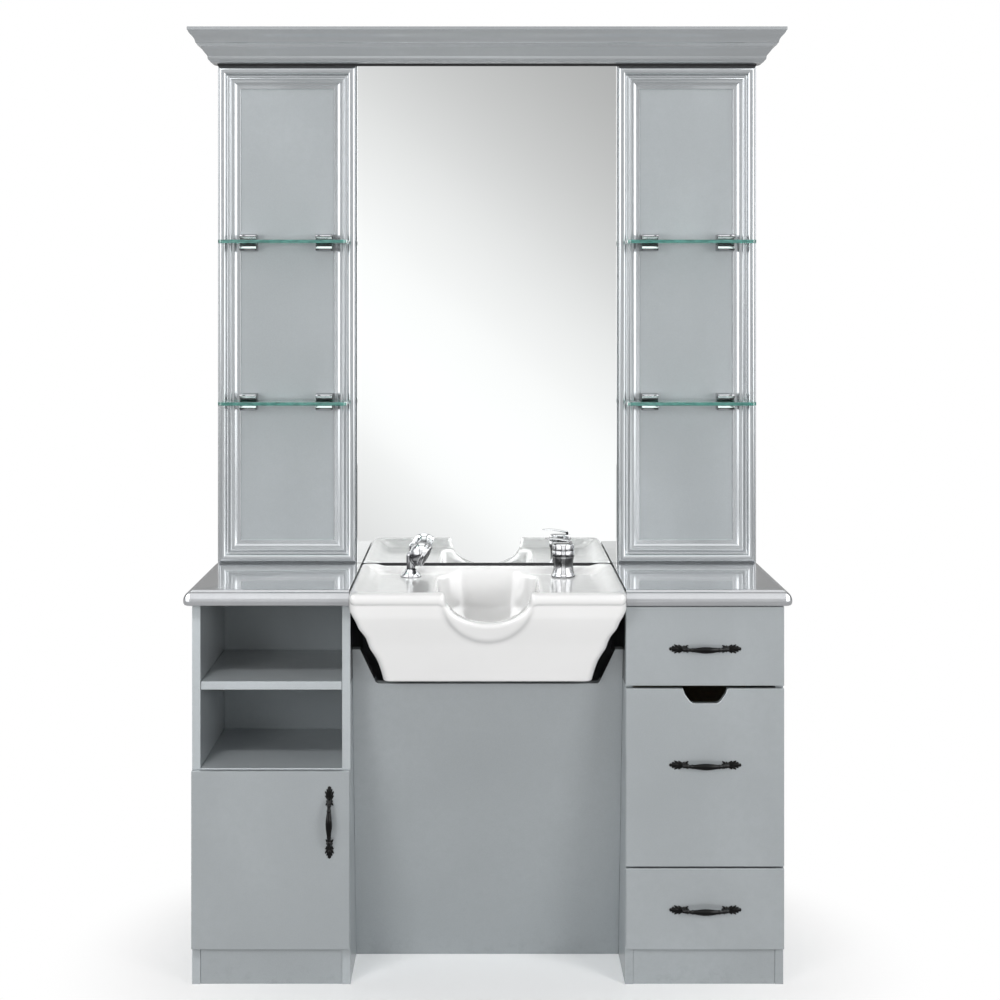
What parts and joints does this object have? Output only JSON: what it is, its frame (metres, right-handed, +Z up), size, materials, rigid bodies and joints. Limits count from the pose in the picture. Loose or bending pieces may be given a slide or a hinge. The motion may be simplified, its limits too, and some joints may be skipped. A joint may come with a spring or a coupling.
{
  "type": "salon styling station",
  "caption": "Salon station with a wash bowl between two storage bases, counters, framed side towers with glass shelves, a wall mirror and a moulded crown.",
  "frame": {"origin": "on the floor, under the middle of the overall box", "axes": "+Z up, +Y to the wall behind, -Y to the user, +X to the user's right when facing the mirror"},
  "size_m": [1.412, 0.56, 2.13],
  "materials": {
    "lacquer": "silver-grey metallic lacquer on board, semi-gloss",
    "counter_lacquer": "silver-grey metallic lacquer, high gloss",
    "core_board": "raw board and timber rails",
    "dark_board": "board stained black",
    "glaze": "white gloss glaze",
    "chrome": "polished chrome",
    "steel": "zinc plated steel",
    "black_steel": "black powder coat",
    "handle_iron": "black with rubbed bronze edges",
    "clear_glass": "polished edges",
    "mirror": "silvered",
    "nozzle": "black nozzle plate"
  },
  "bodies": {
    "station": {"left_outer_side": "lacquer", "left_inner_side": "lacquer", "right_inner_side": "lacquer", "right_outer_side": "lacquer", "bottom_boards": "lacquer", "left_divider_board": "lacquer", "left_middle_shelf": "lacquer", "shelf_pins": "steel", "back_boards": "lacquer", "kick_boards": "lacquer", "top_rails": "core_board", "centre_panel": "lacquer", "panel_battens": "core_board", "bay_rear_rail": "dark_board", "bowl_bracket": "black_steel", "bowl": "glaze", "drain_strainer": "chrome", "drain_tailpiece": "chrome", "mixer_body": "chrome", "tap_nuts": "steel", "supply_hoses": "steel", "spray_holder": "chrome", "left_counter": "counter_lacquer", "right_counter": "counter_lacquer", "tower_boards": "lacquer", "left_tower_moulding": "lacquer", "right_tower_moulding": "lacquer", "mirror_backing": "dark_board", "mirror_glass": "mirror", "glass_shelves": "clear_glass", "shelf_clips": "chrome", "fixing_screws": "steel", "crown_core": "dark_board", "crown_moulding": "lacquer", "hinge_arms": "steel", "runner_cabinet_members": "steel"},
    "cupboard_door": {"door": "lacquer", "door_handle": "handle_iron", "hinge_cups": "steel"},
    "mixer_turning_cap": {"mixer_cap": "chrome"},
    "mixer_lift_lever": {"mixer_lever": "chrome"},
    "hand_spray": {"spray_head": "chrome", "spray_face": "nozzle", "spray_hose": "chrome"},
    "top_drawer": {"top_drawer_front": "lacquer", "top_drawer_handle": "handle_iron", "top_drawer_box": "core_board", "top_runner_drawer": "steel"},
    "top_runner": {"top_runner_middle": "steel"},
    "middle_drawer": {"middle_drawer_front": "lacquer", "middle_drawer_handle": "handle_iron", "middle_drawer_box": "core_board", "middle_runner_drawer": "steel"},
    "middle_runner": {"middle_runner_middle": "steel"},
    "bottom_drawer": {"bottom_drawer_front": "lacquer", "bottom_drawer_handle": "handle_iron", "bottom_drawer_box": "core_board", "bottom_runner_drawer": "steel"},
    "bottom_runner": {"bottom_runner_middle": "steel"}
  },
  "joints": [
    {"name": "door_hinge", "type": "hinge", "parent": "station", "child": "cupboard_door", "pos_m": [-0.632, -0.197, 0.275], "axis": [0, 0, -1], "range_deg": [0, 105]},
    {"name": "top_drawer_slide", "type": "slide", "parent": "station", "child": "top_drawer", "axis": [0, -1, 0], "range_m": [0, 0.34]},
    {"name": "top_runner_slide", "type": "slide", "parent": "station", "child": "top_runner", "axis": [0, -1, 0], "range_m": [0, 0.17]},
    {"name": "middle_drawer_slide", "type": "slide", "parent": "station", "child": "middle_drawer", "axis": [0, -1, 0], "range_m": [0, 0.34]},
    {"name": "middle_runner_slide", "type": "slide", "parent": "station", "child": "middle_runner", "axis": [0, -1, 0], "range_m": [0, 0.17]},
    {"name": "bottom_drawer_slide", "type": "slide", "parent": "station", "child": "bottom_drawer", "axis": [0, -1, 0], "range_m": [0, 0.34]},
    {"name": "bottom_runner_slide", "type": "slide", "parent": "station", "child": "bottom_runner", "axis": [0, -1, 0], "range_m": [0, 0.17]},
    {"name": "mixer_turn", "type": "hinge", "parent": "station", "child": "mixer_turning_cap", "pos_m": [0.178, 0.15, 0.91], "axis": [0, 0, 1], "range_deg": [-45, 50]},
    {"name": "mixer_lift", "type": "hinge", "parent": "mixer_turning_cap", "child": "mixer_lift_lever", "pos_m": [0.195, 0.15, 0.9225], "axis": [0, 1, 0], "range_deg": [0, 25]},
    {"name": "spray_pull", "type": "slide", "parent": "station", "child": "hand_spray", "axis": [0, 0, 1], "range_m": [0, 0.45], "deforming": ["spray_hose"]}
  ],
  "couplings": [
    {"joint": "top_runner_slide", "follows": "top_drawer_slide", "ratio": 0.5},
    {"joint": "middle_runner_slide", "follows": "middle_drawer_slide", "ratio": 0.5},
    {"joint": "bottom_runner_slide", "follows": "bottom_drawer_slide", "ratio": 0.5}
  ]
}
